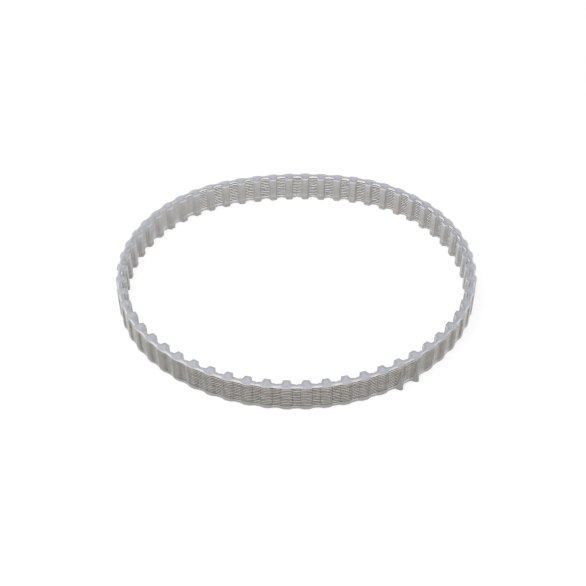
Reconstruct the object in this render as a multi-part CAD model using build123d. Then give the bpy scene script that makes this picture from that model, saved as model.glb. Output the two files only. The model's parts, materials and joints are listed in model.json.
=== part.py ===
from build123d import *
import math
import os

# Endless timing belt: a toothed ring cast in polyurethane round two wound steel cords.
# Units are millimetres. Z is the belt's axis, and the belt stands on its lower cut edge
# at z = 0, with the origin in the middle of the ring's width and depth.
#
# Places on the belt are given as a length along the cord line, anticlockwise from the
# right-hand end of the ring, and an offset from the cord line, outward positive.
# The teeth point inward, to negative offsets.

# Ring
tooth_count = 58
tooth_pitch = 10.0           # along the cord line
belt_width = 16.0
first_tooth = 3.9            # place of the first tooth along the cord line
front_depth_ratio = 0.905    # depth of the ring's front half over its half width
back_depth_ratio = 0.8425    # the same for the back half
end_radius_ratio = 0.82      # radius of the two tighter ends over the half width

# Teeth
tooth_height = 2.45
flank_angle = 20.0           # degrees from the tooth's middle plane
gap_width = 4.7              # between the roots of two teeth
tip_rounding = 0.7
root_rounding = 0.45
land_depth = 1.25            # from the cord line in to the land between two teeth

# Shallow groove that the winding nose leaves across each land
groove_half_width = 1.3
groove_depth = 0.4

# Back: a low swelling behind each tooth and a valley behind each gap
back_depth = 1.2             # from the cord line out to the bottom of a valley
bulge_height = 0.75
bulge_crest_half = 0.9
bulge_valley_half = 0.8

# Tension cords: two of them side by side, wound from opposite ends of the ring
cord_diameter = 0.6
cord_spacing = 1.22          # between the centres of neighbouring passes
cord_foot = 1.2              # from the lower edge up to the centre of the first pass
cord_head = 1.3              # at least this from the centre of the last pass up to the upper edge

# Moulding lugs: two tapered wedges on the back, deepest at the lower edge
lug_teeth = (48, 49)         # teeth with a lug behind, counted from the first tooth
lug_shift = -0.4             # of a lug's middle from its tooth's middle
lug_reach = 2.3              # past the crest of the swelling, at the lower edge
lug_root = 0.6               # sunk into the swelling
lug_root_width = 5.0
lug_nose_width = 2.2
lug_nose_bow = 0.6           # how far the rounded nose bows past its two corners
lug_top_gap = 3.5            # from the lug's upper end to the upper edge
lug_top_width = 1.8
lug_top_reach = 0.15

# Worked out from the sizes above
ring_length = tooth_count * tooth_pitch
root_half = (tooth_pitch - gap_width) / 2
tip_half = root_half - tooth_height * math.tan(math.radians(flank_angle))
land = -land_depth
tip = land - tooth_height
groove_top = land + groove_depth
crest = back_depth + bulge_height
cord_passes = math.floor((belt_width - cord_foot - cord_head) / cord_spacing)

JOINT_SLACK = 1e-6           # two places closer than this are the same place


def ring_arcs():
    """The cord line as six tangent arcs, three to each half: centre, radius, start angle and sweep."""
    inset = 1 - end_radius_ratio
    long_arcs = []
    for depth in (back_depth_ratio, front_depth_ratio):
        radius = (inset**2 + depth**2 - end_radius_ratio**2) / (2 * (depth - end_radius_ratio))
        drop = radius - depth
        long_arcs.append((radius, drop, math.atan2(drop, inset)))
    back_radius, back_drop, back_turn = long_arcs[0]
    front_radius, front_drop, front_turn = long_arcs[1]
    arcs = [
        ((inset, 0), end_radius_ratio, 0, back_turn),
        ((0, -back_drop), back_radius, back_turn, math.pi - 2 * back_turn),
        ((-inset, 0), end_radius_ratio, math.pi - back_turn, back_turn),
        ((-inset, 0), end_radius_ratio, math.pi, front_turn),
        ((0, front_drop), front_radius, math.pi + front_turn, math.pi - 2 * front_turn),
        ((inset, 0), end_radius_ratio, -front_turn, front_turn),
    ]
    half_width = ring_length / sum(radius * sweep for _, radius, _, sweep in arcs)
    to_middle = (front_depth_ratio - back_depth_ratio) / 2
    return [
        ((x * half_width, (y + to_middle) * half_width), radius * half_width, start, sweep)
        for (x, y), radius, start, sweep in arcs
    ]


cord_line = ring_arcs()


def arc_at(along):
    """The arc under a place on the cord line, and how far into that arc it lies."""
    left = along % ring_length
    if ring_length - left < JOINT_SLACK:
        left = 0.0
    for arc in cord_line[:-1]:
        arc_length = arc[1] * arc[3]
        if left < arc_length - JOINT_SLACK:
            return arc, left
        left -= arc_length
    return cord_line[-1], left


def spot(along, offset, height=0.0):
    """The point at a place along the cord line, an offset from it and a height."""
    ((x, y), radius, start, _), left = arc_at(along)
    angle = start + left / radius
    reach = radius + offset
    return Vector(x + reach * math.cos(angle), y + reach * math.sin(angle), height)


def bow(along, start, middle, end, height=0.0):
    """An arc through three (along, offset) places, counted from a given place."""
    return ThreePointArc(*[spot(along + step, offset, height) for step, offset in (start, middle, end)])


def run(along, start, end, height=0.0):
    """A straight edge between two (along, offset) places, counted from a given place."""
    return Line(*[spot(along + step, offset, height) for step, offset in (start, end)])


def corner(before, point, after, radius):
    """Start, middle and end of the arc that rounds a corner, held to the runs beside it."""
    back = (before[0] - point[0], before[1] - point[1])
    ahead = (after[0] - point[0], after[1] - point[1])
    back_length, ahead_length = math.hypot(*back), math.hypot(*ahead)
    half_turn = math.acos((back[0] * ahead[0] + back[1] * ahead[1]) / (back_length * ahead_length)) / 2
    setback = min(radius / math.tan(half_turn), 0.45 * back_length, 0.45 * ahead_length)
    start = (point[0] + back[0] / back_length * setback, point[1] + back[1] / back_length * setback)
    end = (point[0] + ahead[0] / ahead_length * setback, point[1] + ahead[1] / ahead_length * setback)
    inward = (start[0] + end[0] - 2 * point[0], start[1] + end[1] - 2 * point[1])
    inward_length = math.hypot(*inward)
    reach = setback * (1 / math.cos(half_turn) - math.tan(half_turn))
    middle = (point[0] + inward[0] / inward_length * reach, point[1] + inward[1] / inward_length * reach)
    return start, middle, end


def toothed_edges(along):
    """The toothed side over one pitch: a tooth, and the groove in the land after it."""
    pitch_half = tooth_pitch / 2
    groove_edge = pitch_half - groove_half_width
    edges = [
        bow(along + pitch_half, (-groove_half_width, land), (0, groove_top), (groove_half_width, land))
    ]
    for side in (-1, 1):
        root_arc = corner(
            (side * tip_half, tip), (side * root_half, land), (side * groove_edge, land), root_rounding
        )
        tip_arc = corner((side * root_half, land), (side * tip_half, tip), (0, tip), tip_rounding)
        edges.append(bow(along, *root_arc))
        edges.append(run(along, root_arc[0], tip_arc[0]))
        edges.append(bow(along, *tip_arc))
        edges.append(run(along, root_arc[2], (side * groove_edge, land)))
        tip_end = tip_arc[2][0]
    edges.append(bow(along, (-tip_end, tip), (0, tip), (tip_end, tip)))
    return edges


def back_edges(along):
    """The back over one pitch: the swelling behind a tooth, and the valley after it."""
    pitch_half = tooth_pitch / 2
    valley_start = pitch_half - bulge_valley_half
    turn_at = (bulge_crest_half + valley_start) / 2
    half_run = turn_at - bulge_crest_half
    half_rise = bulge_height / 2
    shoulder_radius = (half_run**2 + half_rise**2) / bulge_height
    half_bend = math.asin(half_run / shoulder_radius) / 2
    across = shoulder_radius * math.sin(half_bend)
    drop = shoulder_radius * (1 - math.cos(half_bend))
    half_way = (turn_at, crest - half_rise)
    edges = [
        bow(along, (-bulge_crest_half, crest), (0, crest), (bulge_crest_half, crest)),
        bow(along, (valley_start, back_depth), (pitch_half, back_depth),
            (pitch_half + bulge_valley_half, back_depth)),
    ]
    for side in (-1, 1):
        shoulder = [
            (bulge_crest_half, crest), (bulge_crest_half + across, crest - drop), half_way,
            (valley_start - across, back_depth + drop), (valley_start, back_depth),
        ]
        places = [(side * step, offset) for step, offset in shoulder]
        edges.append(bow(along, *places[:3]))
        edges.append(bow(along, *places[2:]))
    return edges


def lug_outline(along, height, root_width, nose_width, reach, nose_bow):
    """One level outline of a lug: a wedge with a rounded nose."""
    root = crest - lug_root
    nose = crest + reach
    root_left, root_right = (-root_width / 2, root), (root_width / 2, root)
    nose_left, nose_right = (-nose_width / 2, nose), (nose_width / 2, nose)
    return Wire([
        run(along, root_left, nose_left, height),
        bow(along, nose_left, (0, nose + nose_bow), nose_right, height),
        run(along, nose_right, root_right, height),
        run(along, root_right, root_left, height),
    ])


def lug(along):
    low_reach = lug_reach - lug_nose_bow
    low = lug_outline(along, 0.0, lug_root_width, lug_nose_width, low_reach, lug_nose_bow)
    top = belt_width - lug_top_gap
    high = lug_outline(along, top, lug_top_width, lug_top_width / 2, lug_top_reach, lug_top_reach)
    return Solid.make_loft([low, high], ruled=True)


def half_turn(half, height):
    """Half a turn of cord: tangent arcs in a plane that climbs by one spacing over the ring's width.

    Half 0 is the back, from the right-hand end to the left-hand one, and half 1 is the front.
    """
    arcs = cord_line[3 * half:3 * half + 3]
    (centre_x, centre_y), radius, _, _ = arcs[0]
    width = 2 * (abs(centre_x) + radius)
    climb = cord_spacing * (2 * half - 1)
    level = Plane(
        origin=(0, centre_y, height + cord_spacing / 2), x_dir=(width, 0, climb), z_dir=(-climb, 0, width)
    )
    stretch = math.hypot(width, climb) / width
    path = Wire([
        CenterArc(
            (x * stretch, (y - centre_y) * stretch), radius * stretch,
            math.degrees(start), math.degrees(sweep),
        )
        for (x, y), radius, start, sweep in arcs
    ]).moved(level.location)
    section = Plane(origin=path @ 0, z_dir=path % 0) * Circle(cord_diameter / 2)
    return Solid.sweep(section.face(), path)


def cord_turn(first_half, turn):
    """One turn of a cord that starts at the beginning of a given half, or what is left at its end."""
    whole = None
    for step in range(2 * turn, min(2 * turn + 2, cord_passes)):
        piece = half_turn((first_half + step) % 2, cord_foot + step * cord_spacing)
        whole = piece if whole is None else whole.fuse(piece)
    return whole


def tension_cords():
    """Both cords, with a node for each turn, and a shorter one for what is left at the end."""
    return {
        f"{name}_turn_{turn + 1}": cord_turn(first_half, turn)
        for first_half, name in enumerate(("s_cord", "z_cord"))
        for turn in range(math.ceil(cord_passes / 2))
    }


def toothed_body(cords):
    """The cast ring with its lugs, and a channel for every turn of cord."""
    teeth = [first_tooth + index * tooth_pitch for index in range(tooth_count)]
    inner = Wire([edge for along in teeth for edge in toothed_edges(along)])
    outer = Wire([edge for along in teeth for edge in back_edges(along)])
    ring = Solid.extrude(Face(outer, [inner]), Vector(0, 0, belt_width))
    lugs = [lug(teeth[index % tooth_count] + lug_shift) for index in lug_teeth]
    return ring.fuse(*lugs).cut(*cords.values())


cords = tension_cords()
nodes = {"toothed_body": toothed_body(cords), **cords}

os.makedirs("parts", exist_ok=True)
for name, solid in nodes.items():
    export_step(solid, f"parts/{name}.step")
    print(name, "valid", solid.is_valid, "volume", round(solid.volume, 2))
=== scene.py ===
# %% [markdown]
# # A cast polyurethane timing belt
#
# This lesson draws an endless toothed belt in three pieces: a ring of clear, slightly milky polyurethane, and
# the two steel cords that it is cast round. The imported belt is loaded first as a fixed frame, in metres, and
# every place below is worked out from it, so what is drawn here lies exactly where the construction says.

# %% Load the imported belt
import json
import math

import bmesh
import bpy
import numpy as np
from mathutils import Matrix, Vector

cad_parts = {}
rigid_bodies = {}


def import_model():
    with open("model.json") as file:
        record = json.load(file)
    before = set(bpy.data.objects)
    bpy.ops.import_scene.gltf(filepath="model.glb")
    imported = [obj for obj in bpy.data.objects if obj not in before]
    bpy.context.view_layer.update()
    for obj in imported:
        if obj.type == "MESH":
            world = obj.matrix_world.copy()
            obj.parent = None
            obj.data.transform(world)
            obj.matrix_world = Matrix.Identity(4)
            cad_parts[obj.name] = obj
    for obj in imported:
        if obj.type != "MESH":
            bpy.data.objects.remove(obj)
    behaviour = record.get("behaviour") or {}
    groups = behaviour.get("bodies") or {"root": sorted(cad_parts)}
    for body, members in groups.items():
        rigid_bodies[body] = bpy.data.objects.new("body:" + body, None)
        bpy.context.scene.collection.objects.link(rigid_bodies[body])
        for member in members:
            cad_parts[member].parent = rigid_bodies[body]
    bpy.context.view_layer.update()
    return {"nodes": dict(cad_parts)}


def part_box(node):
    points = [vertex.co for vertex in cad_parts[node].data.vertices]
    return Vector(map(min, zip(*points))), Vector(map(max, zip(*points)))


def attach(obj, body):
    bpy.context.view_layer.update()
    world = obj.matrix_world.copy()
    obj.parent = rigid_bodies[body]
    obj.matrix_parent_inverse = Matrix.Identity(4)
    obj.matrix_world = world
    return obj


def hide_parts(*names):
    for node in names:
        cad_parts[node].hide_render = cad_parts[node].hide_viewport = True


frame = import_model()

# %% [markdown]
# ## The ring that everything follows
#
# The belt stands as a slightly oval ring. Its cords lie on one closed line, the cord line, which keeps its
# length however the belt bends, so a belt maker measures teeth and pitch along it. The line could be traced
# point by point on a packed cord, or drawn as a spline. Here it is six tangent arcs, as in the construction:
# two tighter ends, a flatter back and a flatter front. Only the roundness of the ends is given as a number.
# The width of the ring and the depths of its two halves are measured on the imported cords, so the line can't
# drift away from them.

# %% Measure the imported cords
MM = 0.001
CORD_RADIUS = 0.3 * MM

first_low, first_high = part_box("s_cord_turn_1")
last_low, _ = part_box("s_cord_turn_6")
half_width = first_high.x - CORD_RADIUS
middle_y = last_low.y
back_depth = first_high.y - CORD_RADIUS - middle_y
front_depth = middle_y - first_low.y - CORD_RADIUS
belt_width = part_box("toothed_body")[1].z
ring_sizes = {"half width": half_width, "back half": back_depth, "front half": front_depth}
print("cord line, mm:", {name: round(size / MM, 2) for name, size in ring_sizes.items()})

# %% Lay out the cord line as arcs
END_RADIUS_RATIO = 0.82


def flatter_arc(depth):
    """Radius, drop below the ring's middle and start angle of the flatter arc of one half."""
    end = END_RADIUS_RATIO * half_width
    inset = half_width - end
    radius = (inset**2 + depth**2 - end**2) / (2 * (depth - end))
    return radius, radius - depth, math.atan2(radius - depth, inset)


def cord_line_arcs():
    """The arcs as rows of centre x, centre y, radius, start angle and sweep, from the right-hand end."""
    end = END_RADIUS_RATIO * half_width
    inset = half_width - end
    back_radius, back_drop, back_turn = flatter_arc(back_depth)
    front_radius, front_drop, front_turn = flatter_arc(front_depth)
    return np.array([
        (inset, middle_y, end, 0, back_turn),
        (0, middle_y - back_drop, back_radius, back_turn, math.pi - 2 * back_turn),
        (-inset, middle_y, end, math.pi - back_turn, back_turn),
        (-inset, middle_y, end, math.pi, front_turn),
        (0, middle_y + front_drop, front_radius, math.pi + front_turn, math.pi - 2 * front_turn),
        (inset, middle_y, end, 2 * math.pi - front_turn, front_turn),
    ])


arcs = cord_line_arcs()
arc_lengths = arcs[:, 2] * arcs[:, 4]
arc_starts = np.concatenate([[0], np.cumsum(arc_lengths)[:-1]])
ring_length = arc_lengths.sum()
print(f"cord line {ring_length / MM:.2f} mm in {len(arcs)} arcs")

# %% [markdown]
# ## Places on the belt
#
# On a maker's drawing a place on a belt is a length along the cord line and an offset from it. One could draw
# a straight belt and bend it round a curve with a modifier instead, but the modifier follows the curve's own
# short straight runs, which aren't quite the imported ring. Here each place is worked out from the arc under it,
# exactly. Offsets are positive outward, and the teeth point inward.

# %% Find a place on the belt
TOOTH_COUNT = 58
FIRST_TOOTH = 3.9 * MM


def place(along, offset):
    """The x and y of places given by a length along the cord line and an offset from it."""
    left = np.mod(along, ring_length)
    number = np.clip(np.searchsorted(arc_starts, left, side="right") - 1, 0, len(arcs) - 1)
    centre_x, centre_y, radius, start, _ = (arcs[number, column] for column in range(5))
    angle = start + (left - arc_starts[number]) / radius
    reach = radius + offset
    return centre_x + reach * np.cos(angle), centre_y + reach * np.sin(angle)


pitch = ring_length / TOOTH_COUNT
tooth_places = FIRST_TOOTH + np.arange(TOOTH_COUNT) * pitch
first_x, first_y = place(FIRST_TOOTH, 0.0)
print(f"{TOOTH_COUNT} teeth at a pitch of {pitch / MM:.3f} mm, the first at x {first_x / MM:.1f}, "
      f"y {first_y / MM:.1f} mm")

# %% [markdown]
# ## The tooth outline
#
# A tooth is a trapezium with flanks at 20 degrees, rounded at its tip and root. Across each land between two
# teeth runs a soft shallow groove, the mark of the nose that held the cords in the mould. The outline could be
# a curve with bevelled corners. A plain list of points is better here, because the body's columns of vertices
# then lie exactly on the corners, where clear plastic bends light most.

# %% Round a corner
MOST_OF_A_RUN = 0.45             # the share of a straight run that one rounding may take


def rounded(before, point, after, radius, count):
    """Points on the arc that rounds a corner, held to the runs beside it."""
    before, point, after = (np.array(p, float) for p in (before, point, after))
    back, ahead = before - point, after - point
    back_length, ahead_length = np.linalg.norm(back), np.linalg.norm(ahead)
    back, ahead = back / back_length, ahead / ahead_length
    half = math.acos(float(back @ ahead)) / 2
    setback = min(radius / math.tan(half), MOST_OF_A_RUN * back_length, MOST_OF_A_RUN * ahead_length)
    centre = point + (back + ahead) / np.linalg.norm(back + ahead) * setback / math.cos(half)
    start, end = point + back * setback - centre, point + ahead * setback - centre
    turn = math.acos(float(start @ end) / float(start @ start))
    shares = np.linspace(0, 1, count)
    return [
        tuple(centre + (math.sin((1 - s) * turn) * start + math.sin(s * turn) * end) / math.sin(turn))
        for s in shares
    ]


square_corner = rounded((0, 1), (0, 0), (1, 0), 0.4, 3)
print("a square corner, rounded by 0.4:", [tuple(round(float(v), 3) for v in p) for p in square_corner])

# %% Draw the toothed side over one pitch
LAND = -1.25 * MM
TIP = -3.7 * MM
TIP_HALF = 1.758 * MM
TIP_COLUMN = 0.6 * MM            # one more column between a tooth's middle and its corner
TIP_ROUNDING, TIP_POINTS = 0.7 * MM, 5
ROOT_HALF = 2.65 * MM
ROOT_ROUNDING, ROOT_POINTS = 0.45 * MM, 4
GROOVE_HALF = 1.3 * MM
GROOVE_DEPTH, GROOVE_POINTS = 0.4 * MM, 8


def half_outline():
    """Half a pitch of the toothed side, from the middle of a tooth to the middle of a land."""
    groove_edge = pitch / 2 - GROOVE_HALF
    tip, root = (TIP_HALF, TIP), (ROOT_HALF, LAND)
    points = [(0, TIP), (TIP_COLUMN, TIP)]
    points += rounded((0, TIP), tip, root, TIP_ROUNDING, TIP_POINTS)
    points += rounded(tip, root, (groove_edge, LAND), ROOT_ROUNDING, ROOT_POINTS)
    for share in np.linspace(0, 1, GROOVE_POINTS):
        dip = GROOVE_DEPTH * (1 - math.cos(math.pi * share)) / 2
        points.append((groove_edge + GROOVE_HALF * share, LAND + dip))
    return points


half = np.array(half_outline())
inner_outline = np.concatenate([half[:0:-1] * (-1, 1), half])[1:]
steps = inner_outline[:, 0]
print("columns per pitch:", len(inner_outline))

# %% [markdown]
# ## The back
#
# The back swells a little behind each tooth and dips behind each gap, so it works as a row of weak lenses in
# front of the cords. A sine wave would come close, but it has no level run on its crests or in its valleys.
# Here each shoulder between two level runs is a pair of arcs of the same radius, one bending each way, which
# is how a mould is cut.

# %% Swell the back
CREST = 1.95 * MM
VALLEY = 1.2 * MM
CREST_HALF = 0.9 * MM
VALLEY_HALF = 0.8 * MM


def back_offset(step):
    """How far out the back lies at a step from a tooth's middle."""
    step = np.abs(step)
    valley_start = pitch / 2 - VALLEY_HALF
    half_run = (valley_start - CREST_HALF) / 2
    half_rise = (CREST - VALLEY) / 2
    radius = (half_run**2 + half_rise**2) / (2 * half_rise)
    down = np.clip(step - CREST_HALF, 0, half_run)
    up = np.clip(valley_start - step, 0, half_run)
    upper = CREST - (radius - np.sqrt(radius**2 - down**2))
    lower = VALLEY + (radius - np.sqrt(radius**2 - up**2))
    return np.where(step < CREST_HALF + half_run, upper, lower)


back_outline = np.stack([steps, back_offset(steps)], -1)
thickness = back_outline[:, 1] - inner_outline[:, 1]
print(f"plastic from back to teeth: {thickness.min() / MM:.2f} to {thickness.max() / MM:.2f} mm")

# %% [markdown]
# ## The moulding lugs
#
# At two neighbouring teeth the mould left a lug on the back: a wedge with a rounded nose that is widest and
# deepest at the lower edge and runs out below the upper one. A lug could be a piece of its own, but two clear
# pieces in each other show a false surface between them. So it is pulled out of the back's own vertices, and
# the crease round its foot is a little rounded, as in a casting.

# %% Shape a lug
LUG_TEETH = (48, 49)
LUG_SHIFT = -0.4 * MM
LUG_TOP_GAP = 3.5 * MM           # from the lug's upper end to the upper cut edge
LUG_ROOT = 0.6 * MM              # sunk into the swelling
# Millimetres at the lower edge, and at the lug's upper end
LUG_ROOT_HALF = (2.5, 1.0)
LUG_NOSE_HALF = (1.1, 0.45)
LUG_REACH = (1.7, 0.15)
LUG_NOSE_BOW = (0.6, 0.15)


def lug_offset(step, height):
    """How far out a lug reaches at a step from its tooth's middle and a height."""
    lug_top = belt_width - LUG_TOP_GAP
    rise = np.clip(height / lug_top, 0, 1)
    tapers = (LUG_ROOT_HALF, LUG_NOSE_HALF, LUG_REACH, LUG_NOSE_BOW)
    root_half, nose_half, reach, bow = ((low - (low - high) * rise) * MM for low, high in tapers)
    step = np.abs(step - LUG_SHIFT)
    nose = reach + bow * (1 - (np.minimum(step, nose_half) / nose_half) ** 2)
    side = np.maximum(0, (step - nose_half) / (root_half - nose_half))
    above = np.clip((height - lug_top) / LUG_ROOT, 0, 1)
    return CREST + nose - side * (reach + LUG_ROOT) - above * LUG_ROOT


print(f"a lug reaches {(lug_offset(LUG_SHIFT, 0.0) - CREST) / MM:.2f} mm past the swelling at the lower edge")

# %% Pull a lug out of the back
LUG_CREASE = 0.5 * MM
LUG_FADE = 3                     # a power: the pull fades fast from the back in to the land


def smooth_larger(a, b, blend):
    """The larger of two values, with a rounded crease where they cross."""
    nearness = np.clip(blend - np.abs(a - b), 0, None) / blend
    return np.maximum(a, b) + nearness**2 * blend / 4


def with_lug(points):
    """Places of (step, offset, height) over one pitch, with the back pulled out to a lug."""
    step, offset, height = points[..., 0], points[..., 1], points[..., 2]
    outline_back = back_offset(step)
    pulled = smooth_larger(outline_back, lug_offset(step, height), LUG_CREASE)
    share = np.clip((offset - LAND) / (outline_back - LAND), 0, 1)
    lugged = points.copy()
    lugged[..., 1] = offset + (pulled - outline_back) * share**LUG_FADE
    return lugged


lower_back = np.insert(back_outline, 2, 0.0, axis=1)
moved = with_lug(lower_back)[:, 1] - lower_back[:, 1]
print(f"a lug moves {np.count_nonzero(moved)} of the {len(moved)} columns of its pitch")

# %% [markdown]
# ## The cast body
#
# The body is one casting, so it is one closed skin. It is laid out as columns round the ring, and each column
# is a loop: up the back, over the upper cut edge, down the toothed side and under the lower cut edge. A loft
# could do the same, but a grid written out puts a narrow rounded corner on both cut edges and keeps
# every face a neat quad.

# %% Move an outline into the plastic
CORNER = 0.16 * MM
BACK_SIDE, TEETH_SIDE = 1, -1


def drawn_in(outline, distance, side):
    """An outline moved into the plastic at right angles to itself, from the back or from the teeth."""
    before = np.roll(outline, 1, axis=0)
    after = np.roll(outline, -1, axis=0)
    before[0, 0] -= pitch
    after[-1, 0] += pitch
    into, out_of = outline - before, after - outline
    along = into / np.linalg.norm(into, axis=1)[:, None] + out_of / np.linalg.norm(out_of, axis=1)[:, None]
    along /= np.linalg.norm(along, axis=1)[:, None]
    return outline + distance * side * np.stack([along[:, 1], -along[:, 0]], -1)


narrowed = drawn_in(inner_outline, CORNER, TEETH_SIDE)
print(f"the cut edge starts {(narrowed[:, 1] - inner_outline[:, 1]).max() / MM:.2f} mm in from the tooth tips")

# %% [markdown]
# ## One column of the skin
#
# One column goes once round a section of the belt: back, upper cut edge, teeth, lower cut edge. It is built
# for a whole pitch at a time, from outlines at one height after another. The real cut edge has a very slight
# rounding at both rims. A bevel modifier would round the tips and roots of the teeth once more, so instead
# the outline is drawn in a little before it crosses the edge.

# %% Go round one column
BACK, EDGE, INNER = 0, 1, 2      # kinds of face, in the order of the body's materials
BACK_LEVELS = 19
INNER_LEVELS = 11
EDGE_SHARES = (0.14, 0.32, 0.5, 0.68, 0.86)


def cut_edge(first, first_side, second, second_side, height, inward):
    """Outlines over one cut edge, from one side of the belt to the other, with a rounded corner at each."""
    bevel = (1 - math.cos(math.pi / 4)) * CORNER
    first_in, second_in = drawn_in(first, CORNER, first_side), drawn_in(second, CORNER, second_side)
    return [
        (drawn_in(first, bevel, first_side), height + inward * bevel, EDGE),
        (first_in, height, EDGE),
        *[(first_in + (second_in - first_in) * share, height, EDGE) for share in EDGE_SHARES],
        (second_in, height, EDGE),
        (drawn_in(second, bevel, second_side), height + inward * bevel, EDGE),
    ]


def wall(outline, start, end, levels, kind):
    """Outlines up or down one side of the belt; the face after the last of them belongs to the cut edge."""
    heights = np.linspace(start, end, levels)
    return [(outline, height, kind if height != end else EDGE) for height in heights]


def section_loop():
    """One pitch of the loop as (step, offset, height) points, and the kind of the face after each."""
    low, high = CORNER, belt_width - CORNER
    rings = [
        *wall(back_outline, low, high, BACK_LEVELS, BACK),
        *cut_edge(back_outline, BACK_SIDE, inner_outline, TEETH_SIDE, belt_width, -1),
        *wall(inner_outline, high, low, INNER_LEVELS, INNER),
        *cut_edge(inner_outline, TEETH_SIDE, back_outline, BACK_SIDE, 0.0, 1),
    ]
    points = [np.insert(outline, 2, height, axis=1) for outline, height, _ in rings]
    return np.stack(points, 1), [kind for _, _, kind in rings]


loop_points, loop_kinds = section_loop()
print("columns", len(loop_points) * TOOTH_COUNT, "points round each", len(loop_kinds))

# %% [markdown]
# ## From columns to a mesh
#
# All teeth come from one mould, so one pitch of columns is wrapped round the ring once for each tooth, with a
# lug behind two of them. An array modifier and a curve could repeat it, but then the two lugs would need a
# second body. The finished grid of points is handed to Blender as whole arrays, because adding its faces one
# by one takes many times longer.

# %% Wrap the columns round the ring
def wrapped():
    """Every vertex of the body, as columns by loop points by x, y and z."""
    spans = []
    for number, tooth in enumerate(tooth_places):
        points = with_lug(loop_points) if number in LUG_TEETH else loop_points
        x, y = place(tooth + points[..., 0], points[..., 1])
        spans.append(np.stack([x, y, points[..., 2]], -1))
    return np.concatenate(spans)


def grid_mesh(name, grid, along_closed=True):
    """A mesh of quads over a grid of points, closed across its rows and, unless it is open, along them."""
    rows, width = grid.shape[:2]
    here = np.arange(rows * width).reshape(rows, width)
    ahead = np.roll(here, -1, axis=0)
    quads = np.stack([here, ahead, np.roll(ahead, -1, axis=1), np.roll(here, -1, axis=1)], -1)
    if not along_closed:
        quads = quads[:-1]
    quads = quads.reshape(-1, 4)
    mesh = bpy.data.meshes.new(name)
    mesh.vertices.add(rows * width)
    mesh.vertices.foreach_set("co", grid.astype(np.float32).ravel())
    mesh.loops.add(quads.size)
    mesh.loops.foreach_set("vertex_index", quads.ravel().astype(np.int32))
    mesh.polygons.add(len(quads))
    mesh.polygons.foreach_set("loop_start", np.arange(0, quads.size, 4, dtype=np.int32))
    mesh.update(calc_edges=True)
    mesh.polygons.foreach_set("use_smooth", np.ones(len(quads), bool))
    piece = bpy.data.objects.new(name, mesh)
    bpy.context.scene.collection.objects.link(piece)
    return piece


body_grid = wrapped()
body = grid_mesh("cast_body", body_grid)
body.data.polygons.foreach_set("material_index", np.tile(np.array(loop_kinds, np.int32), len(body_grid)))
print("body:", len(body.data.vertices), "vertices,", len(body.data.polygons), "quads")

# %% [markdown]
# ## Flat faces that stay flat
#
# A cut edge and a tooth's flank are flat on a real belt, and only the corners between them are round. Smooth
# shading bends the light over the whole of them. Marking every sharp edge would cure that and spoil the round
# corners. A weighted normal modifier lets the large faces keep their own direction, and bends only the narrow
# ones between them.

# %% Weight the shading by the faces
LARGE_FACES_LEAD = 90            # 50 is an even say for every face, and 100 is none for the small ones

weighted = body.modifiers.new("flat_faces_stay_flat", "WEIGHTED_NORMAL")
weighted.weight = LARGE_FACES_LEAD
print("shading:", weighted.name, weighted.weight)

# %% [markdown]
# ## What the skin knows about the plastic
#
# How milky a belt looks at a point depends on how much plastic lies behind it, and a cut edge is painted with
# zones of light and shade near its rims. The materials could guess that from a point's place, but the ring's
# line is not a circle, so the sums would be long. The skin knows it already, so it carries four values for each
# vertex: the plastic behind it, the distances on a cut edge from the back and from the teeth, and how far a lug
# has pulled it.

# %% Carry values for the materials
LUG_FULL = 1.1 * MM              # pulled this far out, the back shows all of the lug's own colour


def depth_from(outline, points):
    """The distance from points on a cut edge to an outline, over one pitch."""
    path = np.concatenate([outline - (pitch, 0), outline, outline + (pitch, 0)])
    start, run = path[:-1], np.diff(path, axis=0)
    share = ((points[..., None, :] - start) * run).sum(-1) / (run**2).sum(-1)
    foot = start + np.clip(share, 0, 1)[..., None] * run
    return np.linalg.norm(points[..., None, :] - foot, axis=-1).min(-1)


def carry(name, values):
    """Give each vertex of the body a value that the materials can read."""
    layer = body.data.attributes.new(name, "FLOAT", "POINT")
    layer.data.foreach_set("value", values.astype(np.float32).ravel())


behind = np.repeat(thickness[:, None], len(loop_kinds), 1)
lug_share = np.clip((with_lug(loop_points)[..., 1] - loop_points[..., 1]) / LUG_FULL, 0, 1)
carry("plastic_behind", np.tile(behind, (TOOTH_COUNT, 1)))
carry("from_back", np.tile(depth_from(back_outline, loop_points[..., :2]), (TOOTH_COUNT, 1)))
carry("from_teeth", np.tile(depth_from(inner_outline, loop_points[..., :2]), (TOOTH_COUNT, 1)))
carry("lug", np.concatenate([lug_share * (number in LUG_TEETH) for number in range(TOOTH_COUNT)]))
print("the body carries:", [layer.name for layer in body.data.attributes if layer.data_type == "FLOAT"])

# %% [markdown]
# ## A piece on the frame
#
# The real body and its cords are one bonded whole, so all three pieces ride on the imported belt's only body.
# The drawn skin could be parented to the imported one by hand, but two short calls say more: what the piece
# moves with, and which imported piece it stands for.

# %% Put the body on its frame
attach(body, "root")
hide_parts("toothed_body")
print(body.name, "stands for toothed_body")

# %% [markdown]
# ## The cords
#
# Two stranded steel cords are wound side by side from opposite ends of the ring. Each climbs evenly along its
# length, wanders a little as a real winding does, and turns up to the cut edge at its end, where it was cut
# off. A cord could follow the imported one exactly, but so perfect a winding looks like a printed pattern
# through the clear back. A sum of a few smooth waves, with phases drawn from a fixed seed, gives the small
# drift and is the same in every run.

# %% Let a winding wander
WANDER = 0.11 * MM
WANDER_WAVES = (0.083, 0.047, 0.029, 0.0173, 0.0113, 0.0071)     # wavelengths in metres
WAVES_TOGETHER = 2.4             # six waves together mostly stay within this
WINDING_SEED = 58

random = np.random.default_rng(WINDING_SEED)


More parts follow.
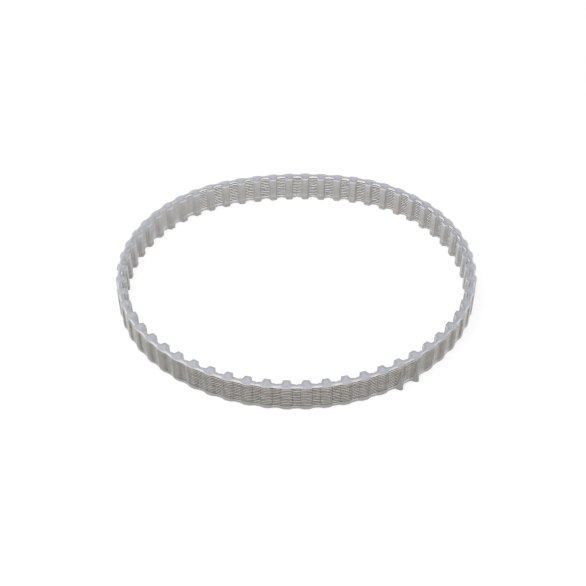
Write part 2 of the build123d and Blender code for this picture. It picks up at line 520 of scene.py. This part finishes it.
def wander(travelled):
    """A small smooth drift of a winding, in metres."""
    drift = 0
    for wavelength in WANDER_WAVES:
        phase = random.uniform(0, 2 * math.pi)
        drift = drift + np.sin(2 * math.pi * travelled / wavelength + phase)
    return drift * WANDER / WAVES_TOGETHER


print(f"a winding wanders by about {WANDER / MM:.2f} mm")

# %% [markdown]
# ## The line of a cord
#
# A real cord climbs from the lower edge to the upper one as it goes round and round. Its line could be one
# long spline, but that would need a point for every few millimetres of more than three metres. So the line
# is worked out: places along the belt at even steps, a height that climbs with the length travelled, a wander
# up and down and in and out, and a last stretch that is led up to the cut edge.

# %% Find the line of a cord
SEGMENT = 0.6 * MM
CORD_PASSES = 11
SIDEWAYS_SHARE = 0.5             # of the wander, for the drift in and out of the belt
TAIL = 3.2 * MM
TAIL_BELOW_EDGE = 0.08 * MM      # from the middle of a cord's end up to the cut edge
TAIL_INWARD = 0.6 * MM

cord_start_height = first_low.z + CORD_RADIUS
climb_per_pass = (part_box("s_cord_turn_1")[1].z - CORD_RADIUS - cord_start_height) / 2


def winding_line(start, length):
    """How far each point of a cord's middle line has travelled, its place, and the way outward there."""
    travelled = np.linspace(0, length, int(round(length / SEGMENT)) + 1)
    height = cord_start_height + travelled / length * climb_per_pass * CORD_PASSES + wander(travelled)
    led_out = np.clip(1 - (length - travelled) / TAIL, 0, 1) ** 2
    height = height + (belt_width - TAIL_BELOW_EDGE - height) * led_out
    offset = wander(travelled) * SIDEWAYS_SHARE - TAIL_INWARD * led_out
    x, y = place(start + travelled, offset)
    outer_x, outer_y = place(start + travelled, offset + MM)
    outward = np.stack([outer_x - x, outer_y - y, np.zeros_like(x)], -1)
    return travelled, np.stack([x, y, height], -1), outward


print(f"{CORD_PASSES} passes, {climb_per_pass / MM:.2f} mm apart")

# %% [markdown]
# ## The strands
#
# A real cord has six strands laid round a core, one cord to the right and the other to the left, so that the
# belt runs true. The two lays are called S and Z, and the pieces are named after them. A curve with a round
# bevel would make a plain wire, and six wires round a seventh would cost seven times the faces. Here one
# six-lobed section turns as it goes round the ring. Its steps are coarse, 43 degrees of turn each, which keeps
# the mesh small. From close up the strands can't be told apart: a cord is a dark band with an uneven outline.
# The faces also fold differently in the two lays, so the s cord has a seventh less volume than the z cord.

# %% Lay the strands
LAY = 5.0 * MM                   # the length in which the strands go once round
SECTION_POINTS = 12              # a crest and a dip for each strand
STRAND_DIP = 0.16                # a share of the cord's radius


def unit(vectors):
    """The same directions at length 1."""
    return vectors / np.linalg.norm(vectors, axis=1)[:, None]


def laid_strands(name, start, length, hand):
    """One whole cord, from the place where it starts; hand is 1 or -1 for the way of its lay."""
    travelled, centre, outward = winding_line(start, length)
    forward = unit(np.gradient(centre, axis=0))
    outward = unit(outward - forward * (outward * forward).sum(1)[:, None])
    upward = np.cross(forward, outward)
    lobes = np.arange(SECTION_POINTS)
    angle = (lobes * 2 * math.pi / SECTION_POINTS)[None] + hand * 2 * math.pi * travelled[:, None] / LAY
    radius = CORD_RADIUS * np.where(lobes % 2 == 0, 1, 1 - STRAND_DIP)
    grid = centre[:, None] + radius[None, :, None] * (
        np.cos(angle)[..., None] * outward[:, None] + np.sin(angle)[..., None] * upward[:, None]
    )
    return grid_mesh(name, grid, along_closed=False)


def close_ends(cord):
    """A flat face over each end of a cord."""
    work = bmesh.new()
    work.from_mesh(cord.data)
    bmesh.ops.holes_fill(work, edges=[edge for edge in work.edges if edge.is_boundary], sides=0)
    bmesh.ops.recalc_face_normals(work, faces=work.faces)
    work.to_mesh(cord.data)
    work.free()


print(f"lay of a strand: {LAY / MM:.1f} mm, {SECTION_POINTS} points round a cord")

# %% [markdown]
# ## Both windings
#
# The cords start half a ring apart, one at the right-hand end and one at the left-hand end, and each passes
# between two turns of the other. They could be cut into turns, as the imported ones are, but a real cord has no
# joint from end to end. So each is one piece here, and it stands for all six of its packed turns.

# %% Wind both cords
SHORT_OF_HALF_TURN = 2.5 * MM

back_length = arc_lengths[:3].sum()
whole_turns = CORD_PASSES // 2
cord_runs = {
    "s_cord": (0.0, whole_turns * ring_length + back_length - SHORT_OF_HALF_TURN, 1),
    "z_cord": (back_length, (whole_turns + 1) * ring_length - back_length - SHORT_OF_HALF_TURN, -1),
}
cords = {}
for name, (start, length, hand) in cord_runs.items():
    cord = laid_strands(name, start, length, hand)
    close_ends(cord)
    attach(cord, "root")
    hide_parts(*[node for node in frame["nodes"] if node.startswith(name)])
    cords[name] = cord
    print(name, "length mm", round(length / MM, 1), "faces", len(cord.data.polygons))

# %% [markdown]
# ## Steel strands
#
# The strands are bare steel wire, seen only through plastic. One could draw the fine light and dark of their
# lay with noise and a bump, which the coarse lobes don't give. But in most views a cord is no more than a thin
# line, so the finish is one plain metal colour, satin rather than polished. Its darkness is painted shade: the
# colour is made far darker than bare steel to stand in for the neighbours and milky plastic that each strand
# mostly mirrors.

# %% Make the steel
# painted shade: far darker than bare steel, for what the strands mirror
STEEL_WITH_PAINTED_SHADE = (0.045, 0.041, 0.035, 1)
STEEL_ROUGHNESS = 0.35


def put(tree, value, socket):
    """Give a socket its value: a link where the value is another node's output, or a plain number or colour."""
    if isinstance(value, bpy.types.NodeSocket):
        tree.links.new(value, socket)
    else:
        socket.default_value = value


def added(tree, kind, values):
    """A new node of a kind, with a value for each socket that is named."""
    node = tree.nodes.new(kind)
    for name, value in values.items():
        put(tree, value, node.inputs[name])
    return node


def new_finish(name):
    """An empty material, its node tree and the socket for its surface."""
    material = bpy.data.materials.new(name)
    material.use_nodes = True
    tree = material.node_tree
    tree.nodes.clear()
    return material, tree, tree.nodes.new("ShaderNodeOutputMaterial").inputs["Surface"]


def steel_strands():
    """Satin steel, darkened as painted shade."""
    material, tree, surface = new_finish("steel_strands")
    values = {"Base Color": STEEL_WITH_PAINTED_SHADE, "Metallic": 1, "Roughness": STEEL_ROUGHNESS}
    put(tree, added(tree, "ShaderNodeBsdfPrincipled", values).outputs["BSDF"], surface)
    return material


steel = steel_strands()
for cord in cords.values():
    cord.data.materials.append(steel)
print(steel.name, "on", list(cords))

# %% [markdown]
# ## How the plastic is mixed
#
# Cast polyurethane is clear but a little milky. How much cord shows through it depends on how much plastic
# there is: a land is a clear window, the back behind a tooth is hazy, and a tooth itself is an even soft grey.
# A scattering volume would show that by itself, but slowly and with noise. Here the plastic behind each point,
# which the skin carries, mixes a clear glass-like shader with a milky one. The first small parts of that mix
# are a carried value, a value moved from one range to another, and a mix of two values or colours.

# %% Read and mix values
def carried(tree, name):
    """The value that the mesh carries under a name."""
    node = tree.nodes.new("ShaderNodeAttribute")
    node.attribute_name = name
    return node.outputs["Fac"]


def ranged(tree, value, start, end, low=0.0, high=1.0, smooth=True):
    """A value mapped from one range to another, and held at its ends."""
    values = {"Value": value, "From Min": start, "From Max": end, "To Min": low, "To Max": high}
    node = added(tree, "ShaderNodeMapRange", values)
    node.interpolation_type = "SMOOTHSTEP" if smooth else "LINEAR"
    return node.outputs["Result"]


def mixed(tree, factor, a, b, kind="VALUE"):
    """A mix of two values, or of two colours where the kind is RGBA."""
    node = added(tree, "ShaderNodeMix", {"Factor": factor})
    node.data_type = "RGBA" if kind == "RGBA" else "FLOAT"
    for name, value in (("A", a), ("B", b)):
        put(tree, value, next(s for s in node.inputs if s.name == name and s.type == kind))
    return next(s for s in node.outputs if s.type == kind)


def inside(tree):
    """1 where a ray meets a face from within the plastic, and 0 from outside."""
    return tree.nodes.new("ShaderNodeNewGeometry").outputs["Backfacing"]


print("values can be:", [helper.__name__ for helper in (carried, ranged, mixed, inside)])

# %% [markdown]
# ## Colours that change with height
#
# Light comes into a clear belt through its upper cut edge and up from the floor, and the colours stand in for
# it: they are painted to change from edge to edge, as painted light and shade by height. A gradient texture
# would need a mapping of its own. The height in the belt's own coordinates is that mapping already, and a
# colour ramp holds a colour for each height in millimetres.

# %% Colour by height
def own_place(tree):
    """A point's place in the belt's own coordinates, which move with it."""
    return tree.nodes.new("ShaderNodeTexCoord").outputs["Object"]


def height_share(tree, start, end):
    """The height above the lower cut edge as a share of the way between two heights in millimetres."""
    split = added(tree, "ShaderNodeSeparateXYZ", {"Vector": own_place(tree)})
    return ranged(tree, split.outputs["Z"], start * MM, end * MM, smooth=False)


def coloured_by(tree, share, stops):
    """A colour that runs through stops of (millimetres, colour) as a share goes from 0 to 1."""
    ramp = added(tree, "ShaderNodeValToRGB", {"Fac": share})
    elements = ramp.color_ramp.elements
    while len(elements) < len(stops):
        elements.new(0.5)
    for element, (place_mm, colour) in zip(elements, stops):
        element.position = place_mm / stops[-1][0]
        element.color = (*colour, 1)
    return ramp.outputs["Color"]


def height_ramp(tree, stops):
    """A colour by height above the lower cut edge."""
    return coloured_by(tree, height_share(tree, 0, stops[-1][0]), stops)


def level_to(start, end, colour, top_colour):
    """Stops for a colour that is the same up to one height, and another from a second height up."""
    return ((0.0, colour), (start, colour), (end, top_colour))


print(f"heights run from 0 to {belt_width / MM:.1f} mm")

# %% [markdown]
# ## Ripple and soft spots
#
# A cast face is never quite flat or even. It has a faint ripple from the mould, and spots where it is a little
# more or less milky. Real waves of hundredths of a millimetre would cost far too many faces, so a bump bends
# the light as they would, and a slow noise lightens and darkens the milk.

# %% Ripple and mottle
NOISE_DETAIL = 3
RIPPLE_DEPTH = 0.05 * MM
SPOT_RANGE = (0.3, 0.7)          # where most of the noise lies


def noise(tree, scale):
    """Soft noise in the belt's own coordinates."""
    values = {"Vector": own_place(tree), "Scale": scale, "Detail": NOISE_DETAIL}
    return added(tree, "ShaderNodeTexNoise", values).outputs["Fac"]


def rippled(tree, scale, strength):
    """A normal with the fine waviness of a surface."""
    values = {"Strength": strength, "Distance": RIPPLE_DEPTH, "Height": noise(tree, scale)}
    return added(tree, "ShaderNodeBump", values).outputs["Normal"]


def mottled(tree, colour, scale, spread):
    """A colour that is lighter and darker in soft spots, by a share either way."""
    level = ranged(tree, noise(tree, scale), *SPOT_RANGE, 1 - spread, 1 + spread, smooth=False)
    node = tree.nodes.new("ShaderNodeVectorMath")
    node.operation = "SCALE"
    put(tree, colour, node.inputs["Vector"])
    put(tree, level, node.inputs["Scale"])
    return node.outputs["Vector"]


print("surfaces can be:", [helper.__name__ for helper in (rippled, mottled)])

# %% [markdown]
# ## Milk and clear plastic
#
# Milk is lit by the light that falls on its outer side. From outside it is a plain diffuse surface with a soft
# gloss. Met from inside, by a ray that has come through the clear plastic, it is a translucent one that glows
# with the light behind it. A single diffuse shader would be too dark there, because it shows only the light
# that reaches its inner side. Subsurface scattering glows as well, but it hides what lies under the surface,
# and here the cords have to show.

# %% Mix milk with clear plastic
REFRACTION = 1.5
MILK_ROUGHNESS = 0.3


def between(tree, factor, first, second):
    """A mix of two shaders."""
    node = added(tree, "ShaderNodeMixShader", {"Fac": factor})
    put(tree, first, node.inputs[1])
    put(tree, second, node.inputs[2])
    return node.outputs["Shader"]


def milky_plastic(tree, surface, haze, milk_and_painted_light, clear, lit_through, roughness, normal):
    """Clear plastic mixed with milk by haze; lit_through is the milk's colour seen from inside; both carry
    painted light.
    """
    glass = added(tree, "ShaderNodeBsdfPrincipled", {
        "Base Color": clear, "Roughness": roughness, "IOR": REFRACTION, "Transmission Weight": 1.0,
        "Normal": normal,
    })
    outer_milk = added(tree, "ShaderNodeBsdfPrincipled", {
        "Base Color": milk_and_painted_light, "Roughness": max(roughness, MILK_ROUGHNESS), "IOR": REFRACTION, "Normal": normal,
    })
    inner_milk = added(tree, "ShaderNodeBsdfTranslucent", {"Color": lit_through, "Normal": normal})
    both_milks = between(tree, inside(tree), outer_milk.outputs["BSDF"], inner_milk.outputs["BSDF"])
    put(tree, between(tree, haze, glass.outputs["BSDF"], both_milks), surface)


print("clear plastic refracts by", REFRACTION)

# %% [markdown]
# ## The moulded back
#
# The back is smooth from the mould, and the clearest face of the belt: the cords show through it as fine
# lines. It hazes over a little behind each tooth, where the plastic is thickest. In the last millimetre or two
# below the upper cut edge it hazes over too and is painted pale, a painted light for the light that comes in
# from above; its clear and lit-through colours are painted lighter there as well. Along the lower cut edge a
# pale lavender glow is painted, with a darker band of painted shade just above it. The lugs are solid
# plastic with no cord in them, so they are plain grey. One even haze would be simpler, but it hides the cords
# and the pitch of the teeth alike. Every face met from inside is milky, so that the plastic glows softly
# between the cords.

# %% Finish the back
ALL_MILK = 1.0
INNER_SPOTS = (520, 0.16)        # scale, and lighter or darker by this share
FINE_RIPPLE = (450, 0.2)         # scale and strength
BACK_ROUGHNESS = 0.07
BACK_DEPTHS = (2.6 * MM, 4.6 * MM)       # of plastic, over which the haze grows
BACK_HAZE = (0.02, 0.19)
RIM_HEIGHTS = (14.95, 15.7)      # millimetres, over which the back turns to its rim's haze
# the haze that lets the painted light below the upper cut edge show
PAINTED_LIGHT_RIM_HAZE = 0.55
LUG_HAZE = 0.8
LUG_MILK = (0.30, 0.31, 0.285, 1)
# painted light: the clear tint turns near white below the upper cut edge, and so does the lit-through colour
BACK_CLEAR_WITH_PAINTED_LIGHT = level_to(13.3, 14.6, (0.64, 0.615, 0.575), (0.95, 0.94, 0.93))
BACK_LIT_THROUGH = level_to(13.6, 15.0, (0.80, 0.785, 0.77), (0.97, 0.96, 0.95))
# painted glow at the lower edge, painted shade just above it, painted light below the upper edge
BACK_MILK_WITH_PAINTED_LIGHT_AND_SHADE = (
    (0.0, (0.60, 0.58, 0.64)),
    (0.7, (0.42, 0.40, 0.40)),
    (1.6, (0.49, 0.465, 0.43)),
    (14.1, (0.49, 0.465, 0.43)),
    (15.2, (0.70, 0.67, 0.63)),
    (16.0, (0.80, 0.77, 0.74)),
)


def moulded_back():
    """Clear plastic, hazier behind the teeth, at the upper rim and on the lugs, with painted light and shade by
    height.
    """
    material, tree, surface = new_finish("moulded_back")
    lug = carried(tree, "lug")
    haze = ranged(tree, carried(tree, "plastic_behind"), *BACK_DEPTHS, *BACK_HAZE)
    haze = mixed(tree, height_share(tree, *RIM_HEIGHTS), haze, PAINTED_LIGHT_RIM_HAZE)
    haze = mixed(tree, lug, haze, LUG_HAZE)
    haze = mixed(tree, inside(tree), haze, ALL_MILK)
    milk_and_painted_light = mixed(tree, lug, height_ramp(tree, BACK_MILK_WITH_PAINTED_LIGHT_AND_SHADE), LUG_MILK, "RGBA")
    clear = height_ramp(tree, BACK_CLEAR_WITH_PAINTED_LIGHT)
    lit_through = mottled(tree, height_ramp(tree, BACK_LIT_THROUGH), *INNER_SPOTS)
    normal = rippled(tree, *FINE_RIPPLE)
    milky_plastic(tree, surface, haze, milk_and_painted_light, clear, lit_through, BACK_ROUGHNESS, normal)
    return material


back_finish = moulded_back()
print(back_finish.name, "nodes", len(back_finish.node_tree.nodes))

# %% [markdown]
# ## Teeth and lands
#
# On the toothed side the land between two teeth is thin and clear, and the cords show in it. A tooth is nearly
# three times as thick, so it is milky right through and shows none. Its tip is a warm grey with painted shade,
# a little darker near its foot, and a paler band of painted light below the upper cut edge. Its flanks have a
# painted bluish light towards the top, for the light of the room that they catch, and from inside they are
# painted darker than lands and tips, a painted shade that holds back that light. Lands, flanks and tips are
# all painted lighter below the upper cut edge, in their clear and lit-through colours too. Three
# materials, for land, flank and tip, would meet in hard lines. One material that blends three colours by the
# plastic behind each point has none, and the tooth's own rounding sets where they meet.

# %% Finish the teeth and lands
TEETH_ROUGHNESS = 0.08
TEETH_DEPTHS = (2.9 * MM, 3.6 * MM)
TEETH_HAZE = (0.06, 0.9)
OUTER_SPOTS = (620, 0.08)
# Depths of plastic over which a land turns to a flank, and a flank to a tip
TIP_MILK_DEPTHS = (4.0 * MM, 4.9 * MM)
LAND_LIGHT_DEPTHS = (2.6 * MM, 3.0 * MM)
TIP_LIGHT_DEPTHS = (4.7 * MM, 5.3 * MM)
# painted light: these clear and lit-through colours turn lighter below the upper cut edge
TEETH_CLEAR_WITH_PAINTED_LIGHT = level_to(13.6, 14.9, (0.86, 0.85, 0.83), (0.98, 0.97, 0.96))
LAND_LIT_THROUGH = level_to(13.3, 14.7, (0.73, 0.71, 0.675), (0.95, 0.93, 0.91))
# painted shade: flanks darker from inside than lands and tips, against the light they catch
FLANK_LIT_THROUGH_PAINTED_DARKER = level_to(13.3, 14.7, (0.46, 0.445, 0.42), (0.90, 0.87, 0.84))
TIP_LIT_THROUGH = level_to(13.3, 14.7, (0.57, 0.54, 0.495), (0.90, 0.87, 0.84))
# painted light: flanks turn bluish and lighter towards the top
FLANK_MILK_WITH_PAINTED_LIGHT = (
    (0.0, (0.45, 0.44, 0.43)),
    (9.5, (0.47, 0.465, 0.46)),
    (12.5, (0.51, 0.525, 0.55)),
    (16.0, (0.56, 0.58, 0.62)),
)
# painted shade low on the tip, painted light below the upper cut edge
TIP_MILK_WITH_PAINTED_LIGHT_AND_SHADE = (
    (0.0, (0.44, 0.42, 0.41)),
    (1.2, (0.39, 0.37, 0.35)),
    (2.2, (0.36, 0.34, 0.31)),
    (3.5, (0.50, 0.475, 0.44)),
    (4.6, (0.39, 0.37, 0.35)),
    (9.8, (0.40, 0.38, 0.36)),
    (13.0, (0.45, 0.435, 0.42)),
    (14.6, (0.43, 0.42, 0.41)),
    (15.5, (0.70, 0.69, 0.67)),
    (16.0, (0.86, 0.85, 0.84)),
)


def moulded_teeth():
    """Clear lands between milky teeth."""
    material, tree, surface = new_finish("moulded_teeth")
    depth = carried(tree, "plastic_behind")
    haze = mixed(tree, inside(tree), ranged(tree, depth, *TEETH_DEPTHS, *TEETH_HAZE), ALL_MILK)
    at_tip = ranged(tree, depth, *TIP_MILK_DEPTHS)
    milk_and_painted_light = mixed(tree, at_tip, height_ramp(tree, FLANK_MILK_WITH_PAINTED_LIGHT), height_ramp(tree, TIP_MILK_WITH_PAINTED_LIGHT_AND_SHADE), "RGBA")
    clear = height_ramp(tree, TEETH_CLEAR_WITH_PAINTED_LIGHT)
    land, flank, tip = (
        height_ramp(tree, stops) for stops in (LAND_LIT_THROUGH, FLANK_LIT_THROUGH_PAINTED_DARKER, TIP_LIT_THROUGH)
    )
    tooth = mixed(tree, ranged(tree, depth, *TIP_LIGHT_DEPTHS), flank, tip, "RGBA")
    lit_through = mixed(tree, ranged(tree, depth, *LAND_LIGHT_DEPTHS), land, tooth, "RGBA")
    milk_and_painted_light, lit_through = mottled(tree, milk_and_painted_light, *OUTER_SPOTS), mottled(tree, lit_through, *INNER_SPOTS)
    normal = rippled(tree, *FINE_RIPPLE)
    milky_plastic(tree, surface, haze, milk_and_painted_light, clear, lit_through, TEETH_ROUGHNESS, normal)
    return material


teeth_finish = moulded_teeth()
print(teeth_finish.name, "nodes", len(teeth_finish.node_tree.nodes))

# %% [markdown]
# ## The knife-cut edge
#
# Belts of this kind are cast as a wide sleeve and cut to width, and the knife leaves both edges frosted. The
# light that crosses a frosted face comes out in zones, and these are painted into the colour as painted light
# and shade: a thin painted highlight along the toothed rim, bluish grey in the middle of a tooth, a painted
# dark band about half a millimetre in from the toothed side, and a painted pale strip along the back, most of
# all between two teeth, where the plastic is thin. From inside, the lower cut edge is painted darker than the
# upper one. A fine bump alone would look sanded, with none of these zones. So the colour runs across the
# edge by the distances from the teeth and from the back, and the bump adds the knife's grain.

# %% Finish the cut edge
CUT_ROUGHNESS = 0.4
CUT_HAZE = 0.92
CUT_CLEAR = (0.8, 0.8, 0.8, 1)
CUT_SPOTS = (900, 0.10)
KNIFE_GRAIN = (2500, 0.3)
# painted light and shade: a thin highlight at the toothed rim, a dark band 0.55 mm in, bluish grey beyond
CUT_TONE_AND_PAINTED_LIGHT_ACROSS = (                   # millimetres in from the toothed side
    (0.0, (0.44, 0.435, 0.43)),
    (0.22, (0.40, 0.395, 0.39)),
    (0.55, (0.275, 0.28, 0.29)),
    (1.0, (0.315, 0.325, 0.345)),
    (1.6, (0.375, 0.39, 0.435)),
)
# painted light: a pale strip along the back, paler at the lands
CUT_PAINTED_LIGHT_WIDTH = (0.3 * MM, 0.9 * MM)
CUT_PAINTED_LIGHT_AT_LANDS, CUT_PAINTED_LIGHT_AT_TEETH = (0.62, 0.595, 0.57, 1), (0.45, 0.425, 0.40, 1)
# painted shade: from inside, the lower cut edge is darker than the upper one
CUT_LIT_THROUGH = (
    (0.0, (0.42, 0.41, 0.42)),
    (8.0, (0.85, 0.82, 0.80)),
)


def knife_cut_polyurethane():
    """Frosted plastic, in zones of painted light and shade across the cut."""
    material, tree, surface = new_finish("knife_cut_polyurethane")
    across = ranged(tree, carried(tree, "from_teeth"), 0, CUT_TONE_AND_PAINTED_LIGHT_ACROSS[-1][0] * MM, smooth=False)
    off_back = ranged(tree, carried(tree, "from_back"), *CUT_PAINTED_LIGHT_WIDTH)
    at_tooth = ranged(tree, carried(tree, "plastic_behind"), *TEETH_DEPTHS)
    # painted light: the pale strip along the back
    rim = mixed(tree, at_tooth, CUT_PAINTED_LIGHT_AT_LANDS, CUT_PAINTED_LIGHT_AT_TEETH, "RGBA")
    milk_and_painted_light = mixed(tree, off_back, rim, coloured_by(tree, across, CUT_TONE_AND_PAINTED_LIGHT_ACROSS), "RGBA")
    milk_and_painted_light = mottled(tree, milk_and_painted_light, *CUT_SPOTS)
    lit_through = height_ramp(tree, CUT_LIT_THROUGH)
    normal = rippled(tree, *KNIFE_GRAIN)
    milky_plastic(tree, surface, CUT_HAZE, milk_and_painted_light, CUT_CLEAR, lit_through, CUT_ROUGHNESS, normal)
    return material


cut_finish = knife_cut_polyurethane()
for finish in (back_finish, cut_finish, teeth_finish):
    body.data.materials.append(finish)
print("materials of the body:", [finish.name for finish in body.data.materials])

# %% [markdown]
# ## The floor
#
# The belt stands on a plain pale floor, the kind a product is laid on. A floor lit only by the lamp would come
# out grey, and more lamp would wash out the belt. So most of the floor's colour is a white of its own, but
# only where the floor is seen: the light that it throws back onto the belt stays that of a matt floor. The
# dark line where the belt touches the floor would be lost in that white, so a painted contact shadow, found
# by nearness to the belt, darkens it.

# %% Lay the floor
FLOOR_HALF = 3.0
FLOOR_GAP = 0.05 * MM
FLOOR_MATT = (0.9, 0.9, 0.9, 1)
FLOOR_WHITE_SHARE = 0.8
FLOOR_WHITE_STRENGTH = 1.05      # makes up for the matt share, which stays below white
CONTACT_SHADOW = 3.0 * MM
CONTACT_SAMPLES = 8
CONTACT_OPENNESS = (0.28, 0.52)  # of the space round a point, from darkest to untouched
# painted shadow: the colour that the floor's white turns to close to the belt
PAINTED_CONTACT_SHADOW_COLOUR = (0.42, 0.40, 0.46, 1)
WHITE = (1, 1, 1, 1)


def worked_out(tree, operation, first, *second):
    """A sum done on one or two values."""
    node = tree.nodes.new("ShaderNodeMath")
    node.operation = operation
    for value, socket in zip((first, *second), node.inputs):
        put(tree, value, socket)
    return node.outputs["Value"]


def rays_that_see(tree):
    """1 for what is seen, straight, mirrored or through plastic, and 0 for light on its way to the belt."""
    rays = tree.nodes.new("ShaderNodeLightPath").outputs
    seen = worked_out(tree, "MAXIMUM", rays["Is Camera Ray"], rays["Is Glossy Ray"])
    return worked_out(tree, "MAXIMUM", seen, rays["Is Transmission Ray"]), rays["Is Camera Ray"]


def pale_floor():
    """A matt floor that is white where it is seen, with a painted contact shadow close to the belt."""
    material, tree, surface = new_finish("pale_floor")
    seen, seen_straight = rays_that_see(tree)
    closeness = added(tree, "ShaderNodeAmbientOcclusion", {"Distance": CONTACT_SHADOW})
    closeness.samples = CONTACT_SAMPLES
    open_share = ranged(tree, closeness.outputs["AO"], *CONTACT_OPENNESS, smooth=False)
    open_share = mixed(tree, seen_straight, 1.0, open_share)
    shade = mixed(tree, open_share, PAINTED_CONTACT_SHADOW_COLOUR, WHITE, "RGBA")
    white = added(tree, "ShaderNodeEmission", {"Color": shade, "Strength": FLOOR_WHITE_STRENGTH})
    matt = added(tree, "ShaderNodeBsdfDiffuse", {"Color": FLOOR_MATT})
    share = worked_out(tree, "MULTIPLY", seen, FLOOR_WHITE_SHARE)
    put(tree, between(tree, share, matt.outputs["BSDF"], white.outputs["Emission"]), surface)
    return material


def floor_plane():
    """A wide square just under the belt."""
    corners = [(x * FLOOR_HALF, y * FLOOR_HALF, -FLOOR_GAP) for x, y in ((-1, -1), (1, -1), (1, 1), (-1, 1))]
    mesh = bpy.data.meshes.new("floor")
    mesh.from_pydata(corners, [], [(0, 1, 2, 3)])
    mesh.materials.append(pale_floor())
    floor = bpy.data.objects.new("floor", mesh)
    bpy.context.scene.collection.objects.link(floor)
    return floor


floor = floor_plane()
print("floor:", floor.data.materials[0].name, f"{2 * FLOOR_HALF:.0f} m wide")

# %% [markdown]
# ## The room
#
# A clear belt mirrors and bends whatever is round it, so it needs a room to look real. A picture of a studio
# could go round the scene, but then a file would have to travel with it. A plain world does well: white where
# it is seen, straight or through the plastic, and dimmer as a light, so that the lamp still shapes the belt.
# The light from the left and right is a little cool, and from the front and back a little warm, which sets
# the ends of the ring off from its long sides.

# %% Light the room
WARM_WALL, COOL_WALL = (1.05, 1.0, 0.94, 1), (0.80, 0.93, 1.12, 1)
ROOM_LEVEL = 0.55


def pale_room():
    """A room that is white where it is seen, and otherwise a dimmer light with warm and cool sides."""
    world = bpy.data.worlds.new("pale_room")
    world.use_nodes = True
    tree = world.node_tree
    tree.nodes.clear()
    surface = tree.nodes.new("ShaderNodeOutputWorld").inputs["Surface"]
    seen, _ = rays_that_see(tree)
    direction = tree.nodes.new("ShaderNodeTexCoord").outputs["Generated"]
    split = added(tree, "ShaderNodeSeparateXYZ", {"Vector": direction})
    sideways = worked_out(tree, "ABSOLUTE", split.outputs["X"])
    walls = mixed(tree, sideways, WARM_WALL, COOL_WALL, "RGBA")
    dim = added(tree, "ShaderNodeBackground", {"Color": walls, "Strength": ROOM_LEVEL})
    white = added(tree, "ShaderNodeBackground", {"Color": WHITE, "Strength": 1.0})
    put(tree, between(tree, seen, dim.outputs["Background"], white.outputs["Background"]), surface)
    return world


bpy.context.scene.world = pale_room()
print("room:", bpy.context.scene.world.name, "at", ROOM_LEVEL)

# %% [markdown]
# ## The lamp
#
# A maker lights a small clear part with one wide soft box, high and a little to the left. A small lamp would
# leave a sharp glint on every tooth, and a sun would leave hard shadows. A square area lamp as wide as four
# belts gives long soft highlights along the crests of the back, and one faint shadow to the right.

# %% Hang the lamp
LAMP_SIDE = 0.8
LAMP_POWER = 6
LAMP_PLACE = Vector((-0.25, -0.15, 0.75))


def wide_softbox():
    """A square lamp that points at the belt's foot."""
    light = bpy.data.lights.new("wide_softbox", "AREA")
    light.shape = "SQUARE"
    light.size = LAMP_SIDE
    light.energy = LAMP_POWER
    lamp = bpy.data.objects.new("wide_softbox", light)
    bpy.context.scene.collection.objects.link(lamp)
    lamp.location = LAMP_PLACE
    lamp.rotation_euler = (-LAMP_PLACE).to_track_quat("-Z", "Y").to_euler()
    return lamp


lamp = wide_softbox()
print("lamp:", lamp.name, LAMP_POWER, "W,", round(LAMP_PLACE.length, 2), "m from the belt")

# %% [markdown]
# ## The camera
#
# The camera looks down on the ring from a little over half a metre, near enough for the front to look clearly
# larger than the back. It could be aimed with a constraint, but four numbers on an orbit round the belt's foot
# say the same and can be read off a tripod: distance, elevation, azimuth and roll. The small shift slides the
# frame without turning the view, so that upright edges keep their lean.

# %% Place the camera
VIEW_DISTANCE = 575.6 * MM
VIEW_ELEVATION = math.radians(43.545)
VIEW_AZIMUTH = math.radians(-3.293)
VIEW_ROLL = math.radians(-0.15)
IMAGE_SIDE = 586
SENSOR = 36.0
FOCAL_SHARE = 1018.2 / IMAGE_SIDE
SHIFT = (-3.78 / IMAGE_SIDE, -3.13 / IMAGE_SIDE)
CLIP = (0.01, 20)


def camera_axes():
    """The camera's right, up and backward directions as the columns of a matrix."""
    ce, se = math.cos(VIEW_ELEVATION), math.sin(VIEW_ELEVATION)
    ca, sa = math.cos(VIEW_AZIMUTH), math.sin(VIEW_AZIMUTH)
    back = Vector((ce * sa, -ce * ca, se))
    right = Vector((ca, sa, 0))
    up = back.cross(right)
    cr, sr = math.cos(VIEW_ROLL), math.sin(VIEW_ROLL)
    return Matrix((right * cr - up * sr, right * sr + up * cr, back)).transposed(), back


def orbit_camera():
    """The camera on an orbit round the belt's foot."""
    data = bpy.data.cameras.new("camera")
    data.sensor_width = SENSOR
    data.lens = FOCAL_SHARE * SENSOR
    data.shift_x, data.shift_y = SHIFT
    data.clip_start, data.clip_end = CLIP
    camera = bpy.data.objects.new("camera", data)
    bpy.context.scene.collection.objects.link(camera)
    axes, back = camera_axes()
    camera.matrix_world = Matrix.Translation(back * VIEW_DISTANCE) @ axes.to_4x4()
    return camera


camera = orbit_camera()
bpy.context.scene.camera = camera
bpy.context.scene.view_settings.view_transform = "Standard"
print("camera at, mm:", [round(v / MM) for v in camera.matrix_world.translation])
print(f"lens {camera.data.lens:.1f} mm")
